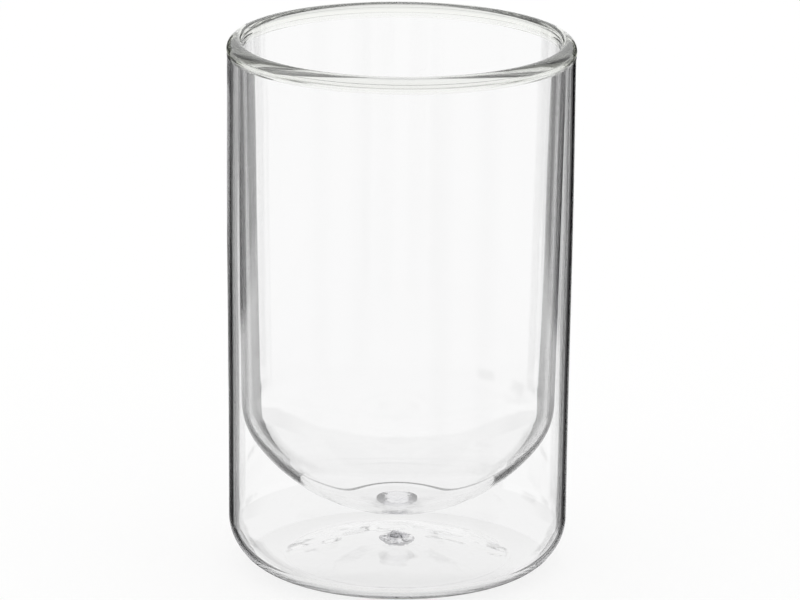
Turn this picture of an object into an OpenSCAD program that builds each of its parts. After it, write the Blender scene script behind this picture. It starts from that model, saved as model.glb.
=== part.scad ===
/* [Cup] */
// Overall height, from the table to the crest of the rim
cup_h = 124.6; // [95:0.2:170]
// Outer diameter across the rim
rim_d = 80; // [66:0.5:104]
// How much the outer wall narrows in radius from the rim to the heel
body_taper = 0.7; // [0:0.1:1.2]

/* [Outer wall] */
// Thickness of the outer wall
outer_wall_t = 1.25; // [0.8:0.05:2.2]
// Radius of the rounded heel between the wall and the base
heel_r = 11.7; // [6:0.1:15]
// Thickness of the glass in the heel and the base
base_t = 1.6; // [1:0.1:2.8]
// Width of the flat ring that the cup stands on
rest_ring_w = 1.5; // [0.8:0.1:4]
// Height of the hollow pushed up under the base, at its centre
punt_h = 4.5; // [1:0.1:6]

/* [Air space] */
// Width of the air space between the two walls, just under the rim
gap_w = 1; // [0.6:0.05:2.4]
// Height of the air space between the base and the bowl, at the centre
under_bowl_h = 6.9; // [4:0.1:20]

/* [Inner vessel] */
// Thickness of the inner wall
inner_wall_t = 1.35; // [0.8:0.05:2.2]
// How much the inner vessel narrows in radius from the rim to the bowl
inner_taper = 1.45; // [0.5:0.05:3]
// Radius of the round shoulder where the wall turns into the bowl
bowl_corner_r = 16.2; // [8:0.2:24]
// How much longer the radius of the bowl's crown is than the vessel's own
bowl_crown_extra = 4.3; // [1:0.1:20]
// Thickness of the glass in the bowl's floor, away from its centre
floor_t = 1.4; // [1.2:0.1:2.4]
// Height of the faint swelling in the middle of the floor
swell_h = 0.8; // [0.4:0.1:1.6]
// Radius of the swelling's rounded top
swell_r = 200; // [100:5:400]
// Radius of the valley around the swelling
valley_r = 28; // [12:1:32]

/* [Rim bead] */
// Radius of the bead's broad shoulder, from its outer side up to the crest
rim_shoulder_r = 2.4; // [1.4:0.1:3]
// Height of the bead's straight side, below the shoulder
rim_side_h = 1.1; // [0.8:0.05:5]
// How far the air space runs straight up into the bead, below its round end
groove_h = 0.6; // [0.1:0.05:1]
// How far the bead stands out beyond the outer wall
bead_proud = 0.1; // [0.05:0.05:0.5]

/* [Vent seal] */
// Diameter of the vent hole in the base
vent_d = 4.4; // [3:0.1:8]
// How far the melted cap reaches beyond the hole, all round
seal_lip = 1.8; // [0.8:0.1:3]
// Height of the cap below the base
seal_drop = 1.1; // [0.5:0.1:2]
// Height of the small nub above the base
seal_nub_h = 0.7; // [0.3:0.1:1.2]

/* [Floor button] */
// Diameter of the fused button under the bowl
button_d = 9.6; // [6:0.1:14]
// Depth of the button's seat in the bowl
button_seat = 0.9; // [0.5:0.1:1.2]
// How far the button stands out below the bowl
button_drop = 1; // [0.4:0.1:2]

/* [Hidden] */
overrun = 1;
cap_edge_t = 0.25;
$fn = 240;

// Radii and heights of the outer wall
wall_top_r = rim_d / 2 - bead_proud;
wall_base_r = wall_top_r - body_taper;
rest_in_r = wall_base_r - heel_r - rest_ring_w;
punt_r = (rest_in_r * rest_in_r + punt_h * punt_h) / (2 * punt_h);
base_top_z = punt_h + base_t;

// The rim: the bead is as wide as both walls and the air space together
rim_w = bead_proud + outer_wall_t + gap_w + inner_wall_t;
rim_lip_r = rim_w - rim_shoulder_r;
crest_r = rim_d / 2 - rim_shoulder_r;
joint_z = cup_h - max(rim_shoulder_r, rim_lip_r) - rim_side_h;
groove_r = wall_top_r - outer_wall_t - gap_w / 2;
groove_z = joint_z + groove_h;

// The inner vessel hangs inside the outer wall and touches nothing but the rim
vessel_top_r = wall_top_r - outer_wall_t - gap_w;
vessel_r = vessel_top_r - inner_taper;
crown_r = vessel_r + bowl_crown_extra;
bowl_z = base_top_z + under_bowl_h;
inside_crown_r = crown_r - inner_wall_t;
inside_floor_z = bowl_z + floor_t;

vent_r = vent_d / 2;
seal_r = vent_r + seal_lip;
button_r = button_d / 2;

glass = [0.86, 0.92, 0.91];
fused_glass = [0.72, 0.78, 0.78];
glass_share = 0.45;

// Height of an arc that tops out at top_z on the axis, at radius r
function arc_z(top_z, arc_r, r) = top_z - arc_r + sqrt(arc_r * arc_r - r * r);

// Radius of the arc that rises by h over the half width w
function arc_radius(w, h) = (w * w + h * h) / (2 * h);

// Radius of a straight taper from r1 at z1 to r2 at z2, carried on to height z
function taper_r(r1, z1, r2, z2, z) = r1 + (r2 - r1) * (z - z1) / (z2 - z1);

// Disc at x, z, cut off where it would cross the axis
module trimmed_disc(x, z, r) {
    intersection() {
        translate([x, z]) circle(r = r);
        translate([0, z - 2 * r]) square([x + 2 * r, 4 * r]);
    }
}

// Upright wall on a round heel, with a flat floor
module heeled_outline(base_r, top_r, corner_r, floor_z, top_z) {
    heel_x = base_r - corner_r;
    heel_z = floor_z + corner_r;
    polygon([
        [0, floor_z],
        [heel_x, floor_z],
        [heel_x, heel_z],
        [base_r, heel_z],
        [top_r, top_z],
        [0, top_z]
    ]);
    trimmed_disc(heel_x, heel_z, corner_r);
}

// Disc whose top is the underside of the pushed-up base, or a face above it
module punt_disc(above) {
    translate([0, punt_h - punt_r]) circle(r = punt_r + above);
}

// Round-bottomed vessel: a shallow crown that turns into the wall by a round shoulder
module vessel_outline(wall_r, top_r, corner_r, dome_r, floor_z, top_z, rise) {
    dome_z = floor_z + dome_r;
    corner_x = wall_r - corner_r;
    reach = dome_r - corner_r;
    corner_z = dome_z - sqrt(reach * reach - corner_x * corner_x);
    side = [corner_x, corner_z - dome_z] / reach;
    intersection() {
        translate([0, dome_z]) circle(r = dome_r);
        polygon([
            [0, dome_z],
            [0, dome_z] + 2 * dome_r * side,
            [0, dome_z - 2 * dome_r]
        ]);
    }
    trimmed_disc(corner_x, corner_z, corner_r);
    polygon([
        [0, corner_z],
        [wall_r, corner_z],
        [taper_r(wall_r, corner_z, top_r, top_z, top_z + rise), top_z + rise],
        [0, top_z + rise]
    ]);
}

// Glass of the swelling in the floor, with the valley that rounds it off
module swelling_outline() {
    dome_z = inside_floor_z + inside_crown_r;
    hill_z = inside_floor_z + swell_h - swell_r;
    hill_reach = swell_r + valley_r;
    dome_reach = inside_crown_r - valley_r;
    apart = dome_z - hill_z;
    up = (apart * apart + hill_reach * hill_reach - dome_reach * dome_reach) / (2 * apart);
    valley = [sqrt(hill_reach * hill_reach - up * up), hill_z + up];
    hill_touch = [0, hill_z] + (valley - [0, hill_z]) * swell_r / hill_reach;
    dome_touch = [0, dome_z] + (valley - [0, dome_z]) * inside_crown_r / dome_reach;
    translate([0, hill_z]) circle(r = swell_r);
    difference() {
        polygon([hill_touch, valley, dome_touch, [valley.x, valley.y - 2 * valley_r]]);
        translate(valley) circle(r = valley_r);
    }
}

// Section of the outer body: wall, heel, rest ring and the base with its vent
module outer_wall_section() {
    past_joint = joint_z + overrun;
    air_base_r = wall_base_r - outer_wall_t;
    air_top_r = wall_top_r - outer_wall_t;
    difference() {
        heeled_outline(wall_base_r, wall_top_r, heel_r, 0, joint_z);
        difference() {
            heeled_outline(
                air_base_r,
                taper_r(air_base_r, heel_r, air_top_r, joint_z, past_joint),
                heel_r - base_t,
                base_t,
                past_joint
            );
            punt_disc(base_t);
        }
        punt_disc(0);
        translate([-overrun, -overrun]) square([vent_r + overrun, base_top_z + 2 * overrun]);
    }
}

// Section of the drinking vessel, with the button's seat under its floor
module inner_vessel_section() {
    difference() {
        vessel_outline(vessel_r, vessel_top_r, bowl_corner_r, crown_r, bowl_z, joint_z, 0);
        difference() {
            vessel_outline(
                vessel_r - inner_wall_t,
                vessel_top_r - inner_wall_t,
                bowl_corner_r - inner_wall_t,
                inside_crown_r,
                inside_floor_z,
                joint_z,
                overrun
            );
            swelling_outline();
        }
        translate([-overrun, bowl_z - overrun]) square([button_r + overrun, button_seat + overrun]);
    }
}

// Section of the fused rim: a broad shoulder outside, a tight lip inside, and the
// end of the air space below
module rim_bead_section() {
    shoulder_z = cup_h - rim_shoulder_r;
    lip_z = cup_h - rim_lip_r;
    difference() {
        union() {
            intersection() {
                translate([crest_r, shoulder_z]) circle(r = rim_shoulder_r);
                translate([crest_r, shoulder_z]) square([rim_shoulder_r, rim_shoulder_r]);
            }
            intersection() {
                translate([crest_r, lip_z]) circle(r = rim_lip_r);
                translate([crest_r - rim_lip_r, lip_z]) square([rim_lip_r, rim_lip_r]);
            }
            translate([crest_r, joint_z]) square([rim_shoulder_r, shoulder_z - joint_z]);
            translate([crest_r - rim_lip_r, joint_z]) square([rim_lip_r, lip_z - joint_z]);
        }
        translate([groove_r, groove_z]) circle(d = gap_w);
        translate([groove_r - gap_w / 2, joint_z - overrun]) square([gap_w, groove_h + overrun]);
    }
}

// Section of the vent's seal: cap below, plug in the hole, nub above
module vent_seal_section() {
    cap_rise = seal_drop - cap_edge_t;
    cap_r = arc_radius(seal_r, cap_rise);
    plug_low = arc_z(punt_h, punt_r, vent_r);
    plug_top = arc_z(base_top_z, punt_r + base_t, vent_r);
    nub_r = arc_radius(vent_r, seal_nub_h);
    intersection() {
        punt_disc(0);
        translate([0, punt_h - seal_drop + cap_r]) circle(r = cap_r);
        translate([0, punt_h - 2 * seal_drop]) square([seal_r, 2 * seal_drop]);
    }
    intersection() {
        translate([0, plug_top + seal_nub_h - nub_r]) circle(r = nub_r);
        translate([0, plug_low]) square([vent_r, plug_top + seal_nub_h - plug_low]);
    }
}

// Section of the button: a lens with a short straight edge, let into the bowl
module floor_button_section() {
    lens_r = arc_radius(button_r, button_drop);
    intersection() {
        translate([0, bowl_z - button_drop + lens_r]) circle(r = lens_r);
        translate([0, bowl_z - button_drop]) square([button_r, button_drop]);
    }
    translate([0, bowl_z]) square([button_r, button_seat]);
}

module outer_wall() {
    color(glass, glass_share) rotate_extrude() outer_wall_section();
}

module inner_vessel() {
    color(glass, glass_share) rotate_extrude() inner_vessel_section();
}

module rim_bead() {
    color(glass, glass_share) rotate_extrude() rim_bead_section();
}

module base_vent_seal() {
    color(fused_glass, glass_share) rotate_extrude() vent_seal_section();
}

module floor_button() {
    color(fused_glass, glass_share) rotate_extrude() floor_button_section();
}

outer_wall();
inner_vessel();
rim_bead();
base_vent_seal();
floor_button();
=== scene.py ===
import bpy
from math import acos, asin, atan2, cos, degrees, exp, hypot, pi, radians, sin, sqrt
from mathutils import Matrix, Vector, noise


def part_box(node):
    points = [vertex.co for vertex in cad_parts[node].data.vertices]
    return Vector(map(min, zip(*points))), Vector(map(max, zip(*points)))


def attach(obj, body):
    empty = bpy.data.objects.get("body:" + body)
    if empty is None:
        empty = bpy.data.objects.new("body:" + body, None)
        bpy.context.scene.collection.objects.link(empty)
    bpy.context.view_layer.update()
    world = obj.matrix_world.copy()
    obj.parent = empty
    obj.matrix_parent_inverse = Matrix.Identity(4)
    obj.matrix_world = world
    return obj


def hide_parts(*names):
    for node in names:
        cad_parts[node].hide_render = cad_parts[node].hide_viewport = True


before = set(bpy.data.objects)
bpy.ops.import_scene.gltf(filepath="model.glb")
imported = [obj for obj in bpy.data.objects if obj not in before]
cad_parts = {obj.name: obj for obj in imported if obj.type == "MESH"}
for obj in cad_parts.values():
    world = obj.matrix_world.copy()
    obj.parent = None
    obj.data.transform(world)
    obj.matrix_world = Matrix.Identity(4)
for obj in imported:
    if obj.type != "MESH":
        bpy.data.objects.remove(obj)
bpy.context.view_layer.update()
print("frame loaded: " + ", ".join(sorted(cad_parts)))

mm = 0.001
lap = 0.012          # mm that fused pieces reach into each other, so light passes the join
turns = 288          # steps round the axis
crisp = 38           # degrees, faces that meet at more than this keep a sharp edge
samePoint = 1e-4     # mm, points closer than this are one


# shared helpers

def linearColour(hexValue):
    # sRGB hex to linear, with a full alpha
    parts = [int(hexValue[i:i + 2], 16) / 255 for i in (1, 3, 5)]
    return [p / 12.92 if p <= 0.04045 else ((p + 0.055) / 1.055) ** 2.4 for p in parts] + [1]


def addNode(tree, kind, settings=None, inputs=None):
    # an input is a plain value, or an output to link, or a node whose first output is linked
    node = tree.nodes.new(kind)
    for key, value in (settings or {}).items():
        setattr(node, key, value)
    for key, value in (inputs or {}).items():
        if isinstance(value, bpy.types.Node):
            value = value.outputs[0]
        if isinstance(value, bpy.types.NodeSocket):
            tree.links.new(value, node.inputs[key])
        else:
            node.inputs[key].default_value = value
    return node


# settings that many nodes share
plus = {"operation": "ADD"}
minus = {"operation": "SUBTRACT"}
times = {"operation": "MULTIPLY"}
unsigned = {"operation": "ABSOLUTE"}
smooth = {"interpolation_type": "SMOOTHSTEP"}
ofColours = {"data_type": "RGBA"}     # input 0 is the share, 6 and 7 the colours, and output 2 their mix
white = (1, 1, 1, 1)
black = (0, 0, 0, 1)


def nodeReach(node):
    # radius, lowest and highest point, in mm
    low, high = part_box(node)
    return high.x / mm, low.z / mm, high.z / mm


def ramp(value, start, end):
    # 0 up to start, 1 from end on
    return max(0.0, min(1.0, (value - start) / (end - start)))


def spread(start, end, count):
    return [start + (end - start) * i / count for i in range(count + 1)]


def eased(share):
    return share * share * (3 - 2 * share)


# outlines, as points (radius, height, layer) in mm
# the layers are numbered from the outside in, and round an edge the number runs evenly from one to another
outside, airOuter, airInner, drinking, sunk = range(5)     # sunk lies inside other glass and stays true


def line(a, b, layer, step=1.0):
    count = max(1, round(hypot(b[0] - a[0], b[1] - a[1]) / step))
    return [(r, z, layer) for r, z in zip(spread(a[0], b[0], count), spread(a[1], b[1], count))]


def arc(centre, radius, start, end, layer, step=0.6, toLayer=None, fewest=6):
    # angles in degrees from the +r direction, positive towards +z
    count = max(fewest, round(abs(radians(end - start)) * radius / step))
    angles = [radians(a) for a in spread(start, end, count)]
    layers = spread(layer, layer if toLayer is None else toLayer, count)
    r, z = centre
    return [(r + radius * cos(a), z + radius * sin(a), own) for a, own in zip(angles, layers)]


def arcHeight(top, radius, r):
    return top - radius + sqrt(radius * radius - r * r)


def arcRadius(halfWidth, rise):
    return (halfWidth * halfWidth + rise * rise) / (2 * rise)


def domed(top, radius, fromR, toR, layer, step=0.8):
    count = max(2, round(abs(toR - fromR) / step))
    return [(r, arcHeight(top, radius, r), layer) for r in spread(fromR, toR, count)]


def softened(points, reach, keep=1.2, least=1e-3, far=3):
    # fire polish: corners melt round within reach, while both ends stay where they are
    run = [0.0]
    for a, b in zip(points, points[1:]):
        run.append(run[-1] + hypot(b[0] - a[0], b[1] - a[1]))
    out = []
    for i, (r, z, layer) in enumerate(points):
        width = reach * min(1.0, min(run[i], run[-1] - run[i]) / keep)
        if width < least:
            out.append((r, z, layer))
            continue
        total = sumR = sumZ = 0.0
        for j, point in enumerate(points):
            gap = abs(run[j] - run[i])
            if gap > far * width:
                continue
            before = run[max(0, j - 1)]
            after = run[min(len(run) - 1, j + 1)]
            weight = (after - before) * exp(-(gap / width) ** 2)
            total += weight
            sumR += weight * point[0]
            sumZ += weight * point[1]
        out.append((sumR / total, sumZ / total, layer))
    return out


def joined(*runs):
    points = []
    for run in runs:
        for p in run:
            if not points or hypot(p[0] - points[-1][0], p[1] - points[-1][1]) > samePoint:
                points.append(p)
    return points


# the small unevenness of hand work
blown = {
    "wave": 0.045,            # mm, how far a wall strays from true
    "waveLength": 34,         # mm
    "waveDrawn": 0.45,        # below 1, as drawing the tube pulled the waves long
    "waveSeed": (1.9, 3.1, 0.7),     # where in the noise the waves lie
    "ripple": 0.006,          # mm, finer draw marks
    "rippleLength": 9,        # mm
    "rippleDrawn": 0.3,
    "rippleSeed": (0.4, 2.3, 5.2),
    "calmR": 8,               # mm from the axis, within which both fade
    "hang": (-0.16, 0.0),     # mm, how far the bowl hangs off centre
}


def unevenness(x, y, z, layer):
    # every layer has its own stretch of the noise
    waveX, waveY, waveZ = blown["waveSeed"]
    wave = Vector((x, y, z * blown["waveDrawn"])) / blown["waveLength"]
    wave += Vector((layer * waveX, waveY, waveZ))
    rippleX, rippleY, rippleZ = blown["rippleSeed"]
    ripple = Vector((x, y, z * blown["rippleDrawn"])) / blown["rippleLength"]
    ripple += Vector((rippleX, layer * rippleY, rippleZ))
    return blown["wave"] * noise.noise(wave) + blown["ripple"] * noise.noise(ripple)


def hangShift(z, layer, jointZ):
    # the rim stays on the axis, and only the inner layers hang off it
    share = ramp(layer, airOuter, airInner) * ramp(z, jointZ, 0)
    return blown["hang"][0] * share, blown["hang"][1] * share


def band(a, b):
    # the faces between two rings, which close to a fan where one of them is a single point
    faces = []
    for k in range(turns):
        n = (k + 1) % turns
        if len(a) == 1:
            faces.append((a[0], b[n], b[k]))
        elif len(b) == 1:
            faces.append((a[k], a[n], b[0]))
        else:
            faces.append((a[k], a[n], b[n], b[k]))
    return faces


def turned(name, outline, jointZ, closed, bend):
    # spins an outline round the axis; a point on the axis becomes a single vertex
    verts, faces, rings = [], [], []
    for r, z, layer in outline:
        shiftX, shiftY = hangShift(z, layer, jointZ)
        if r < samePoint:
            rings.append([len(verts)])
            verts.append((shiftX * mm, shiftY * mm, z * mm))
            continue
        ring = []
        for k in range(turns):
            a = 2 * pi * k / turns
            x, y = r * cos(a), r * sin(a)
            swell = 1 + unevenness(x, y, z, layer) * min(1.0, r / blown["calmR"]) / r
            lift = bend(x, y, z, layer) if bend else 0.0
            ring.append(len(verts))
            verts.append(((x * swell + shiftX) * mm, (y * swell + shiftY) * mm, (z + lift) * mm))
        rings.append(ring)
    pairs = list(zip(rings, rings[1:]))
    if closed:
        pairs.append((rings[-1], rings[0]))
    for a, b in pairs:
        if len(a) > 1 or len(b) > 1:
            faces += band(a, b)
    return solidPiece(name, verts, faces)


def solidPiece(name, verts, faces):
    mesh = bpy.data.meshes.new(name)
    mesh.from_pydata(verts, [], faces)
    mesh.validate()
    mesh.update()
    if volumeOf(mesh) < 0:
        mesh.flip_normals()
    mesh.shade_smooth()
    mesh.set_sharp_from_angle(angle=radians(crisp))
    piece = bpy.data.objects.new(name, mesh)
    bpy.context.scene.collection.objects.link(piece)
    return piece


def volumeOf(mesh):
    total = 0.0
    for face in mesh.polygons:
        p = [mesh.vertices[i].co for i in face.vertices]
        for i in range(1, len(p) - 1):
            total += p[0].dot(p[i].cross(p[i + 1]))
    return total / 6


# outer wall: a drawn tube of borosilicate glass, heel and base worked round in the flame
outer = {
    "wall": 1.25,               # mm, as are all lengths here
    "taper": 0.7,               # how much narrower the wall is at the heel
    "heel": 11.7,               # radius of the rounded heel
    "base": 1.6,                # thickness of the base
    "ring": 1.5,                # width of the flat ring that it stands on
    "ringStep": 0.4,
    "punt": 4.5,                # how far the base is pushed up in the middle
    "vent": 2.2,                # radius of the vent hole
    "belly": 0.16,              # the faint swelling a third of the way down
    "bellyPower": 1.6,          # above 1 it sits above the middle
    "polish": 0.2,              # how far the flame has rounded the corners
    "dapple": 0.14,             # unevenness of the base, which was worked by hand round the vent
    "dappleSize": 8,
    "dappleFine": 0.4,          # share of a finer dapple
    "dappleFiner": 2.1,         # how many times finer
    "dappleApart": 7,           # keeps the two faces of the base from following each other
    "dappleFrom": (4.2, 8.2),   # from the axis, where it begins and is full
    "dappleTo": (26, 23),       # from the axis, where it is gone and still full
    "dappleTop": 9,             # only the base lies lower
}


def puntRadius(topR):
    return arcRadius(topR - outer["taper"] - outer["heel"] - outer["ring"], outer["punt"])


def outerWallOutline(topR, jointZ):
    baseR = topR - outer["taper"]
    heelX = baseR - outer["heel"]
    restIn = heelX - outer["ring"]
    puntR = puntRadius(topR)
    airR = outer["heel"] - outer["base"]
    airX = baseR - outer["wall"] - airR
    domeR = puntR + outer["base"]
    domeEnd = sqrt(2 * domeR * outer["punt"] - outer["punt"] ** 2)
    outerFace = joined(
        domed(outer["punt"], puntR, outer["vent"], restIn, outside),
        line((restIn, 0), (heelX, 0), outside, outer["ringStep"]),
        arc((heelX, outer["heel"]), outer["heel"], -90, 0, outside),
        line((baseR, outer["heel"]), (topR, jointZ + lap), outside),
    )
    airFace = joined(
        line((topR - outer["wall"], jointZ + lap), (baseR - outer["wall"], outer["heel"]), airOuter),
        arc((airX, outer["base"] + airR), airR, 0, -90, airOuter),
        domed(outer["punt"] + outer["base"], domeR, domeEnd, outer["vent"], airOuter),
    )
    return bellied(softened(outerFace, outer["polish"]) + softened(airFace, outer["polish"]), jointZ)


def bellied(outline, jointZ):
    out = []
    for r, z, layer in outline:
        share = ramp(z, outer["heel"], jointZ) ** outer["bellyPower"]
        out.append((r + outer["belly"] * sin(pi * share) ** 2, z, layer))
    return out


def baseBend(x, y, z, layer):
    # the heel, the ring and the edge of the vent keep their shape
    r = hypot(x, y)
    free = ramp(r, *outer["dappleFrom"]) * ramp(r, *outer["dappleTo"])
    if z > outer["dappleTop"] or not free:
        return 0.0
    spot = Vector((x, y, layer * outer["dappleApart"])) / outer["dappleSize"]
    fine = outer["dappleFine"] * noise.noise(spot * outer["dappleFiner"])
    return outer["dapple"] * free * (noise.noise(spot) + fine)


# inner vessel: a drawn tube closed to a round bowl, faintly swollen in the middle of its floor
vessel = {
    "wall": 1.1,         # mm, at the rim, and all lengths here are in mm
    "wallBelow": 1.4,    # at the shoulder
    "taper": 1.45,       # how much narrower the wall is at the shoulder
    "corner": 16.2,      # radius of the shoulder
    "crownExtra": 4.3,   # what the crown's radius has over the wall's
    "floor": 1.4,        # thickness of the floor
    "floorStep": 0.4,
    "swell": 0.8,        # height of the swelling in the floor
    "swellR": 200,       # its radius
    "valley": 28,        # radius of the valley round it
    "seatR": 4.8,        # the seat that the button fills
    "seat": 0.9,
    "polish": 0.6,
}


def bowlPoints(wallR, topR, cornerR, domeR, floorZ, topZ, layer, startR=0.0):
    # crown, round shoulder and tapered wall, from the middle of the floor up
    domeZ = floorZ + domeR
    cornerX = wallR - cornerR
    reach = domeR - cornerR
    cornerZ = domeZ - sqrt(reach * reach - cornerX * cornerX)
    turnAngle = -degrees(acos(cornerX / reach))
    startAngle = degrees(asin(startR / domeR)) - 90
    return joined(
        arc((0, domeZ), domeR, startAngle, turnAngle, layer),
        arc((cornerX, cornerZ), cornerR, turnAngle, 0, layer),
        line((wallR, cornerZ), (topR, topZ), layer),
    )


def floorPoints(floorZ, crownR, layer):
    # the swelling, its valley, and the radius where the crown goes on
    swellR, valley, step = vessel["swellR"], vessel["valley"], vessel["floorStep"]
    domeZ = floorZ + crownR
    hillZ = floorZ + vessel["swell"] - swellR
    hillReach = swellR + valley
    domeReach = crownR - valley
    apart = domeZ - hillZ
    up = (apart ** 2 + hillReach ** 2 - domeReach ** 2) / (2 * apart)
    valleyR, valleyZ = sqrt(hillReach ** 2 - up ** 2), hillZ + up
    hillAngle = degrees(atan2(valleyR, up))
    domeAngle = degrees(atan2(valleyR, domeZ - valleyZ))
    points = joined(
        arc((0, hillZ), swellR, 90, 90 - hillAngle, layer, step),
        arc((valleyR, valleyZ), valley, 270 - hillAngle, 270 + domeAngle, layer, step),
    )
    return points, crownR * sin(radians(domeAngle))


def innerVesselOutline(topR, jointZ, bowlZ):
    wallR = topR - vessel["taper"]
    crownR = wallR + vessel["crownExtra"]
    corner, wallBelow = vessel["corner"], vessel["wallBelow"]
    seatZ = bowlZ + vessel["seat"]
    floorZ = bowlZ + vessel["floor"]
    topZ = jointZ + lap
    airFace = joined(
        [(0, seatZ, airInner), (vessel["seatR"], seatZ, airInner)],
        bowlPoints(wallR, topR, corner, crownR, bowlZ, topZ, airInner, vessel["seatR"]),
    )
    inR, inTopR, inCrownR = wallR - wallBelow, topR - vessel["wall"], crownR - wallBelow
    middle, leaveR = floorPoints(floorZ, inCrownR, drinking)
    sides = bowlPoints(inR, inTopR, corner - wallBelow, inCrownR, floorZ, topZ, drinking, leaveR)
    drinkingFace = softened(joined(middle, sides), vessel["polish"])
    return airFace + drinkingFace[::-1]


# rim bead: both walls melted into one round edge
rim = {
    "crestIn": 2.4,       # mm from the outer edge in to the crest
    "gap": 1.0,           # mm, the air space between the walls
    "roof": 2.4,          # mm of glass between the crest and the end of the air space
    "roofRound": 0.9,     # share of the gap that the round end takes
    "crease": 0.12,       # mm, depth of the soft notch where bead and wall meet
    "creaseWidth": 0.5,
    "polish": 0.2,
    "keep": 0.5,          # mm at both ends over which the polish sets in
    "edgeStep": 0.05,     # mm between points, finest where the glass turns fast
    "creaseStep": 0.08,
    "beadStep": 0.12,
    "sideStep": 0.2,
    "grooveStep": 0.1,
    "roofStep": 0.06,
}


def rimOutline(rimR, jointZ, crestZ, wallTopR, innerR):
    crestR = rimR - rim["crestIn"]
    outR, inR = rim["crestIn"], crestR - innerR
    gapOut = wallTopR - outer["wall"]
    gapIn = gapOut - rim["gap"]
    low = jointZ - lap
    notchR, notchZ = wallTopR - rim["crease"], jointZ + rim["creaseWidth"]
    shoulderZ = min(notchZ + rim["creaseWidth"], crestZ - outR)
    bead = joined(
        line((wallTopR, low), (wallTopR, jointZ), outside, rim["edgeStep"]),
        line((wallTopR, jointZ), (notchR, notchZ), outside, rim["creaseStep"]),
        line((notchR, notchZ), (rimR, shoulderZ), outside, rim["creaseStep"]),
        arc((crestR, crestZ - outR), outR, 0, 90, outside, rim["beadStep"]),
        arc((crestR, crestZ - inR), inR, 90, 180, outside, rim["beadStep"], drinking),
        line((innerR, crestZ - inR), (innerR, low), drinking, rim["sideStep"]),
    )
    middle = (gapIn + gapOut) / 2
    endR = rim["gap"] / 2 * rim["roofRound"]
    endZ = crestZ - rim["roof"] - endR
    groove = joined(
        line((gapIn, low), (gapIn, jointZ), airInner, rim["grooveStep"]),
        line((gapIn, jointZ), (middle - endR, endZ), airInner, rim["grooveStep"]),
        arc((middle, endZ), endR, 180, 0, airInner, rim["roofStep"], airOuter),
        line((middle + endR, endZ), (gapOut, jointZ), airOuter, rim["grooveStep"]),
        line((gapOut, jointZ), (gapOut, low), airOuter, rim["grooveStep"]),
    )
    return softened(bead, rim["polish"], rim["keep"]) + groove


def calmEdge(x, y, edgeR, power=4):
    # a melted drop is uneven in the middle and true where it meets the other glass
    return max(0.0, 1 - (hypot(x, y) / edgeR) ** power)


# vent seal: a drop of glass melted over the last hole
seal = {
    "lip": 1.8,               # mm that the cap reaches past the vent
    "drop": 1.1,              # mm that it hangs down
    "edge": 0.25,             # mm, thickness of its edge
    "nub": 0.7,               # mm, the rounded end inside the air space
    "steps": (16, 6, 12),     # steps along the cap, its seat and the nub
    "plugStep": 0.3,
    "unevenness": 0.9,
    "grain": 1.2,             # mm, size of the creases in the melt
    "pulled": 1.3,            # times narrower one way, as the drop was pulled off
    "fine": 0.5,              # share of finer creases
    "finer": 2.3,             # times finer
}


def sealOutline(wallTopR):
    vent, punt = outer["vent"], outer["punt"]
    puntR = puntRadius(wallTopR)
    capR = vent + seal["lip"]
    capSteps, seatSteps, nubSteps = seal["steps"]
    lensR = arcRadius(capR, seal["drop"] - seal["edge"])
    lensZ = punt - seal["drop"] + lensR
    plugR = vent + lap
    plugZ = arcHeight(punt, puntR, vent) + lap
    plugTop = arcHeight(punt + outer["base"], puntR + outer["base"], vent)
    nubR = arcRadius(vent, seal["nub"])
    cap = [(r, lensZ - sqrt(lensR ** 2 - r * r), outside) for r in spread(0, capR, capSteps)]
    seat = [(r, arcHeight(punt, puntR, r) + lap, sunk) for r in spread(capR, vent, seatSteps)]
    plug = line((plugR, plugZ), (plugR, plugTop), sunk, seal["plugStep"])
    nub = [(r, arcHeight(plugTop + seal["nub"], nubR, r), airOuter) for r in spread(vent, 0, nubSteps)]
    return joined(cap, seat, plug, nub)


def sealBend(x, y, z, layer):
    if layer == sunk:
        return 0.0
    spot = Vector((x, y * seal["pulled"], z)) / seal["grain"]
    creases = noise.noise(spot) + seal["fine"] * noise.noise(spot * seal["finer"])
    return seal["unevenness"] * calmEdge(x, y, outer["vent"] + seal["lip"]) * creases


# floor button: the scar under the bowl, melted smooth
button = {
    "drop": 1.0,        # mm that it hangs down
    "flatR": 3.2,       # mm, the flat middle; its sides fall away steeply
    "steps": 24,
    "sideStep": 0.3,
    "unevenness": 0.2,
    "grain": 2.2,
}


def buttonOutline(bowlZ):
    radius = vessel["seatR"]
    low = bowlZ - button["drop"]
    top = bowlZ + vessel["seat"] + lap
    under = []
    for r in spread(0, radius, button["steps"]):
        slope = eased(ramp(r, button["flatR"], radius))
        under.append((r, low + button["drop"] * slope, airInner))
    side = line((radius + lap, bowlZ), (radius + lap, top), sunk, button["sideStep"])
    return joined(under, side, [(0, top, sunk)])


def buttonBend(x, y, z, layer):
    if layer == sunk:
        return 0.0
    dents = noise.noise(Vector((x, y, z)) / button["grain"])
    return button["unevenness"] * calmEdge(x, y, vessel["seatR"]) * dents


# borosilicate glass, drawn and fire polished: mirror smooth, so the eye sees only what it bends and mirrors
ior = 1.472                  # borosilicate 3.3

# the walls are neutral, a little grey where light runs far along them
wallLook = {
    "tint": "#bdbdc1",       # what is left of white light after a long path
    "tintDensity": 6,        # per metre
    "waveSize": 11,          # mm, slow waves from drawing the tube
    "waveDepth": 0.0006,     # mm
    "waveDetail": 1.5,
    "waveRoughness": 0.4,
}

# the fused rim is thicker, so the eye sees a little olive in it
rimLook = {**wallLook, "tint": "#9db04e", "tintDensity": 24, "waveSize": 6.6}

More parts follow.
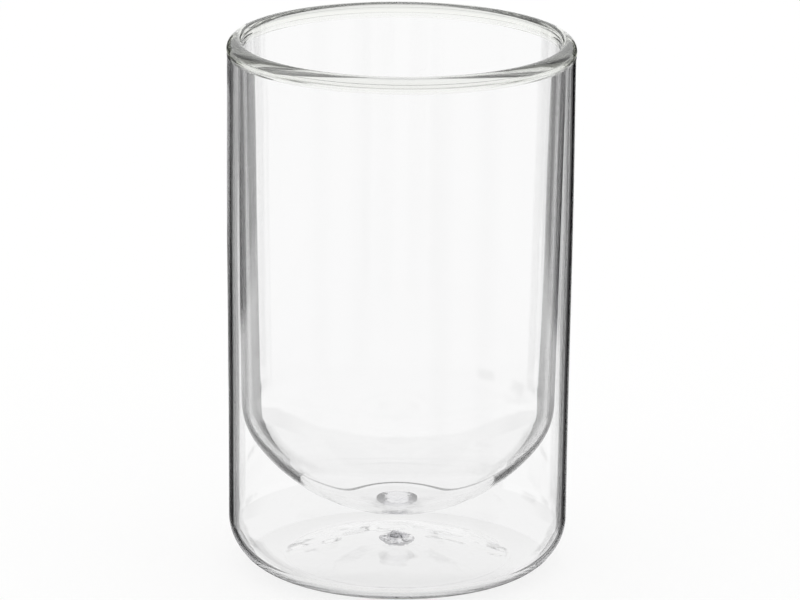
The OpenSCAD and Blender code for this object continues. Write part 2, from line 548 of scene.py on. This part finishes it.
# melted drops, closed and pulled off in the flame: uneven and lavender grey, with dark slanting folds
meltLook = {
    **wallLook,
    "tint": "#9b99ad",
    "tintDensity": 70,
    "waveSize": 1.4,
    "waveDepth": 0.02,
    "foldSize": 0.9,              # mm
    "foldSlant": 24,              # degrees
    "foldStretch": (0.45, 1.5, 1),    # below 1 the folds run long, above 1 they crowd
    "foldDetail": 2.0,
    "foldColour": "#1c1a20",
    "foldFrom": (0.57, 0.61),     # height of the noise at which a fold begins and is dark
    "foldMiddle": 0.5,            # the noise's mean height
    "endsFrom": (2.9, 3.1),       # mm from the middle, where the button's two rough ends begin and are dark
    "endsRagged": 6.0,            # mm, how raggedly they begin
}


def blownGlass(name, look):
    material = bpy.data.materials.new(name)
    material.use_nodes = True
    tree = material.node_tree
    tree.nodes.clear()
    place = addNode(tree, "ShaderNodeTexCoord").outputs["Object"]
    waves = addNode(tree, "ShaderNodeTexNoise", {"noise_dimensions": "3D"},
                    {"Vector": place, "Scale": 1 / (look["waveSize"] * mm),
                     "Detail": look["waveDetail"], "Roughness": look["waveRoughness"]})
    bump = addNode(tree, "ShaderNodeBump", {},
                   {"Strength": 1.0, "Distance": look["waveDepth"] * mm, "Height": waves})
    glass = addNode(tree, "ShaderNodeBsdfPrincipled", {"name": "glass"},
                    {"Base Color": white, "Roughness": 0.0, "IOR": ior,
                     "Transmission Weight": 1.0, "Normal": bump})
    absorb = addNode(tree, "ShaderNodeVolumeAbsorption", {},
                     {"Color": linearColour(look["tint"]), "Density": look["tintDensity"]})
    addNode(tree, "ShaderNodeOutputMaterial", {}, {"Surface": glass, "Volume": absorb})
    return material


def meltedGlass(name, onlyEnds):
    # dark folds over all of the drop, or only at its two rough ends
    material = blownGlass(name, meltLook)
    tree = material.node_tree
    place = addNode(tree, "ShaderNodeTexCoord").outputs["Object"]
    slant = (0, 0, radians(meltLook["foldSlant"]))
    laid = addNode(tree, "ShaderNodeMapping", {},
                   {"Vector": place, "Rotation": slant, "Scale": meltLook["foldStretch"]})
    folds = addNode(tree, "ShaderNodeTexNoise", {},
                    {"Vector": laid, "Scale": 1 / (meltLook["foldSize"] * mm),
                     "Detail": meltLook["foldDetail"]})
    height, (pale, dark) = folds, meltLook["foldFrom"]
    if onlyEnds:
        across = addNode(tree, "ShaderNodeSeparateXYZ", {}, {"Vector": place}).outputs["X"]
        aside = addNode(tree, "ShaderNodeMath", unsigned, {0: across})
        uneven = addNode(tree, "ShaderNodeMath", minus, {0: folds, 1: meltLook["foldMiddle"]})
        ragged = addNode(tree, "ShaderNodeMath", times, {0: uneven, 1: meltLook["endsRagged"] * mm})
        height = addNode(tree, "ShaderNodeMath", plus, {0: aside, 1: ragged})
        pale, dark = (edge * mm for edge in meltLook["endsFrom"])
    share = addNode(tree, "ShaderNodeMapRange", smooth,
                    {"Value": height, "From Min": pale, "From Max": dark})
    foldColour = linearColour(meltLook["foldColour"])
    colour = addNode(tree, "ShaderNodeMix", ofColours, {0: share, 6: white, 7: foldColour}).outputs[2]
    tree.links.new(colour, tree.nodes["glass"].inputs["Base Color"])
    return material


# pieces

rimR, jointZ, crestZ = nodeReach("rim_bead")
wallTopR = nodeReach("outer_wall")[0]
vesselTopR = nodeReach("inner_vessel")[0]
bowlZ = nodeReach("floor_button")[1] + button["drop"]

wallGlass = blownGlass("borosilicate_drawn_wall", wallLook)
beadGlass = blownGlass("borosilicate_fused_rim", rimLook)
sealGlass = meltedGlass("borosilicate_melted_seal", False)
buttonGlass = meltedGlass("borosilicate_melted_button", True)

# name, outline, whether it runs round to its start, bend, material, the node it replaces and its slot
pieces = [
    ("outer_wall_glass", outerWallOutline(wallTopR, jointZ), True, baseBend,
     wallGlass, "outer_wall", "blown_glass"),
    ("inner_vessel_glass", innerVesselOutline(vesselTopR, jointZ, bowlZ), True, None,
     wallGlass, "inner_vessel", "blown_glass"),
    ("rim_bead_glass", rimOutline(rimR, jointZ, crestZ, wallTopR, vesselTopR - vessel["wall"]), True, None,
     beadGlass, "rim_bead", "rim_glass"),
    ("base_vent_seal_glass", sealOutline(wallTopR), False, sealBend,
     sealGlass, "base_vent_seal", "fused_seal"),
    ("floor_button_glass", buttonOutline(bowlZ), False, buttonBend,
     buttonGlass, "floor_button", "fused_seal"),
]
for name, outline, closed, bend, material, node, slot in pieces:
    piece = turned(name, outline, jointZ, closed, bend)
    piece.data.materials.append(material)
    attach(piece, "root")
    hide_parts(node)
    print(name + " made: " + str(len(piece.data.polygons)) + " faces")


# studio: white all round, with dark upright cards on both sides of the background of each main view
# each row of cards hangs at its own height and lists (from, to, brightness), in degrees from +Y towards +X,
# with the blur of the edge in degrees for cards hung far out of focus
studio = {
    "low": [(-74, -55, 0.05), (-35, -10, 0.04), (10.9, 30, 0.04)],
    "sill": [
        (-37.5, -34.5, 0.45), (-34.5, -32, 0.1), (-32, -28.5, 0.45), (-28.5, -10, 0.03),
        (10.9, 24, 0.0), (24, 30, 0.12), (30, 31.5, 0.6), (31.5, 36, 0.04),
        (112, 125, 0.85, 4), (145, 158, 0.85, 4),
    ],
    "middle": [
        (-56, -43, 0.0), (-37.5, -34.5, 0.45), (-34.5, -32, 0.1), (-32, -28.5, 0.45),
        (-28.5, -18, 0.0), (-18, -10, 0.07),
        (10.9, 24, 0.0), (24, 30, 0.12), (30, 31.5, 0.6), (31.5, 36, 0.04),
        (40.5, 53.5, 0.04), (57, 60, 0.1),
        (112, 125, 0.85, 4), (145, 158, 0.85, 4),
    ],
    "high": [(-116, -100, 0.05), (-80, -64, 0.05), (-30, -10, 0.04), (10.9, 30, 0.04)],
    "cardBlur": 0.1,       # degrees over which a card's edge blurs, to each side
    # degrees of elevation over which each row takes over from what is below it, and the bare backdrop last
    "heights": [(-62, -50), (-21, -18), (-16.5, -16.1), (-10, -7), (4, 10)],
    "cardColour": "#0c0a0d",
    "skyColour": "#fcfcfc",      # the white backdrop
    # the table seen through the glass, darker the steeper it looks down as painted shadow of the cup on the
    # table beneath it: (from, to, brightness) in degrees of elevation
    "table": [(-91, -52, 0.62), (-52, -46, 0.78), (-46, -17.36, 0.94)],
    "tableBlur": 0.05,
    # a dark line of painted shadow, the cup's shade on the table just behind it, then the far edge of the
    # table, and the duller part of the ceiling behind the cup: elevations, brightness, then the degrees to
    # the side at which each is gone and at which it is full
    "marks": [(-26.9, -25.9, 0.1, 14, 12), (-18.7, -17.36, 0.92, 3, 6), (48, 68, 0.7, 70, 55)],
    "floorReach": 4.0,      # metres
    "floorDrop": 0.06,      # mm that the table lies under the cup's ring
    "floorColour": "#f2f2f1",
    "floorGlow": 0.825,
    "floorMatt": 0.2,
    "underR": 35.5,         # mm, the round of table under the cup that shows through its base
    "underSteps": 96,
    "underGlow": 0.79,
    "underMatt": 0.35,
}


def cards(tree, angle, stack, blur):
    # white, darkened to each card's brightness between its two edges
    light = 1.0
    for start, end, level, *own in stack:
        half, soft = (end - start) / 2, own[0] if own else blur
        fromMiddle = addNode(tree, "ShaderNodeMath", minus, {0: angle, 1: (start + end) / 2})
        off = addNode(tree, "ShaderNodeMath", unsigned, {0: fromMiddle})
        card = addNode(tree, "ShaderNodeMapRange", smooth,
                       {"Value": off, "From Min": half + soft, "From Max": half - soft,
                        "To Min": 1, "To Max": level})
        light = addNode(tree, "ShaderNodeMath", times, {0: light, 1: card})
    return light


def buildWorld():
    world = bpy.data.worlds.new("studio")
    bpy.context.scene.world = world
    world.use_nodes = True
    tree = world.node_tree
    tree.nodes.clear()
    place = addNode(tree, "ShaderNodeTexCoord").outputs["Generated"]
    split = addNode(tree, "ShaderNodeSeparateXYZ", {}, {"Vector": place})
    x, y, z = (split.outputs[k] for k in "XYZ")
    turn = addNode(tree, "ShaderNodeMath", {"operation": "ARCTAN2"}, {0: x, 1: y})
    turn = addNode(tree, "ShaderNodeMath", {"operation": "DEGREES"}, {0: turn})
    height = addNode(tree, "ShaderNodeMath", {"operation": "ARCSINE"}, {0: z})
    height = addNode(tree, "ShaderNodeMath", {"operation": "DEGREES"}, {0: height})

    # the rows of cards, one above the other, and the bare backdrop above them
    rows = [cards(tree, turn, studio[row], studio["cardBlur"]) for row in ("low", "sill", "middle", "high")]
    light = white
    for (start, full), row in zip(studio["heights"], rows + [white]):
        above = addNode(tree, "ShaderNodeMapRange", smooth,
                        {"Value": height, "From Min": start, "From Max": full})
        light = addNode(tree, "ShaderNodeMix", ofColours, {0: above, 6: light, 7: row}).outputs[2]

    # the table, its marks and the ceiling
    # the table grows darker the steeper it looks down: painted shadow of the cup on the table beneath it
    table = cards(tree, height, studio["table"], studio["tableBlur"])
    aside = addNode(tree, "ShaderNodeMath", unsigned, {0: turn})
    # the first mark is painted shadow: a dark line for the cup's shade on the table just behind it
    for bottom, top, level, gone, full in studio["marks"]:
        there = addNode(tree, "ShaderNodeMapRange", smooth,
                        {"Value": aside, "From Min": gone, "From Max": full})
        mark = cards(tree, height, [(bottom, top, level)], studio["tableBlur"])
        shade = addNode(tree, "ShaderNodeMix", {"data_type": "FLOAT"}, {0: there, 2: 1.0, 3: mark})
        table = addNode(tree, "ShaderNodeMath", times, {0: table, 1: shade})
    sky = linearColour(studio["skyColour"])
    backdrop = addNode(tree, "ShaderNodeMix", ofColours, {0: table, 6: black, 7: sky}).outputs[2]

    # glass sees the studio, and the camera and matt surfaces see plain white
    card = linearColour(studio["cardColour"])
    seen = addNode(tree, "ShaderNodeMix", ofColours, {0: light, 6: card, 7: backdrop}).outputs[2]
    path = addNode(tree, "ShaderNodeLightPath").outputs
    byGlass = addNode(tree, "ShaderNodeMath", {"operation": "MAXIMUM"},
                      {0: path["Is Glossy Ray"], 1: path["Is Transmission Ray"]})
    colour = addNode(tree, "ShaderNodeMix", ofColours, {0: byGlass, 6: white, 7: seen}).outputs[2]
    background = addNode(tree, "ShaderNodeBackground", {}, {"Strength": 1.0, "Color": colour})
    addNode(tree, "ShaderNodeOutputWorld", {}, {"Surface": background})


def mattTable(name, seenBy, glow, matt):
    # matt white board: no shine, only the soft shading under the cup
    material = bpy.data.materials.new(name)
    material.use_nodes = True
    tree = material.node_tree
    tree.nodes.clear()
    path = addNode(tree, "ShaderNodeLightPath").outputs
    strength = addNode(tree, "ShaderNodeMath", times, {0: path[seenBy], 1: glow})
    shine = addNode(tree, "ShaderNodeEmission", {}, {"Color": white, "Strength": strength})
    pale = [c * matt for c in linearColour(studio["floorColour"])[:3]] + [1]
    flat = addNode(tree, "ShaderNodeBsdfDiffuse", {}, {"Color": pale})
    both = addNode(tree, "ShaderNodeAddShader", {}, {0: shine, 1: flat})
    addNode(tree, "ShaderNodeOutputMaterial", {}, {"Surface": both})
    return material


def flatPiece(name, points, material):
    z = -studio["floorDrop"] * mm
    mesh = bpy.data.meshes.new(name)
    mesh.from_pydata([(x, y, z) for x, y in points], [], [tuple(range(len(points)))])
    mesh.materials.append(material)
    piece = bpy.data.objects.new(name, mesh)
    bpy.context.scene.collection.objects.link(piece)
    return piece


def buildFloor():
    size = studio["floorReach"]
    corners = [(-size, -size), (size, -size), (size, size), (-size, size)]
    board = mattTable("matt_white_sweep", "Is Camera Ray", studio["floorGlow"], studio["floorMatt"])
    floor = flatPiece("floor", corners, board)
    floor.visible_transmission = False   # glass shows the white background behind the floor too
    floor.visible_glossy = False


def buildFloorUnderCup():
    # only light that passes the glass shows it
    reach, steps = studio["underR"] * mm, studio["underSteps"]
    angles = [2 * pi * k / steps for k in range(steps)]
    circle = [(reach * cos(a), reach * sin(a)) for a in angles]
    glow, matt = studio["underGlow"], studio["underMatt"]
    board = mattTable("matt_white_under_cup", "Is Transmission Ray", glow, matt)
    under = flatPiece("floor_under_cup", circle, board)
    under.visible_camera = False
    under.visible_diffuse = False
    under.visible_shadow = False


buildWorld()
buildFloor()
buildFloorUnderCup()
print("studio ready")


# camera: a long lens a little above the cup, as in the photograph
shot = {
    "lens": 281.4,        # mm
    "sensor": 36,         # mm
    "distance": 1440,     # mm
    "farthest": 20,       # metres
    "lookAt": (0.12, 0.0, 62.8),
    "above": 15.54,       # degrees
    "roll": 0.545,        # degrees, the cup leans clockwise in the picture
    "bounces": 160,       # light runs far along the walls from the rim before it leaves
    "mattBounces": 3,
}

tilt, roll = radians(shot["above"]), radians(shot["roll"])
back = Vector((0, -cos(tilt), sin(tilt)))
up = Vector((0, sin(tilt), cos(tilt)))
right = Vector((1, 0, 0))
axes = Matrix((right * cos(roll) + up * sin(roll), up * cos(roll) - right * sin(roll), back))
stand = Vector(shot["lookAt"]) * mm + back * (shot["distance"] * mm)
camera = bpy.data.objects.new("camera", bpy.data.cameras.new("camera"))
camera.data.sensor_width = shot["sensor"]
camera.data.lens = shot["lens"]
camera.data.clip_end = shot["farthest"]
camera.matrix_world = Matrix.Translation(stand) @ axes.transposed().to_4x4()

scene = bpy.context.scene
scene.collection.objects.link(camera)
scene.camera = camera
scene.view_settings.view_transform = "Standard"
scene.cycles.max_bounces = shot["bounces"]
scene.cycles.transmission_bounces = shot["bounces"]
scene.cycles.glossy_bounces = shot["bounces"]
scene.cycles.diffuse_bounces = shot["mattBounces"]
print("camera set")
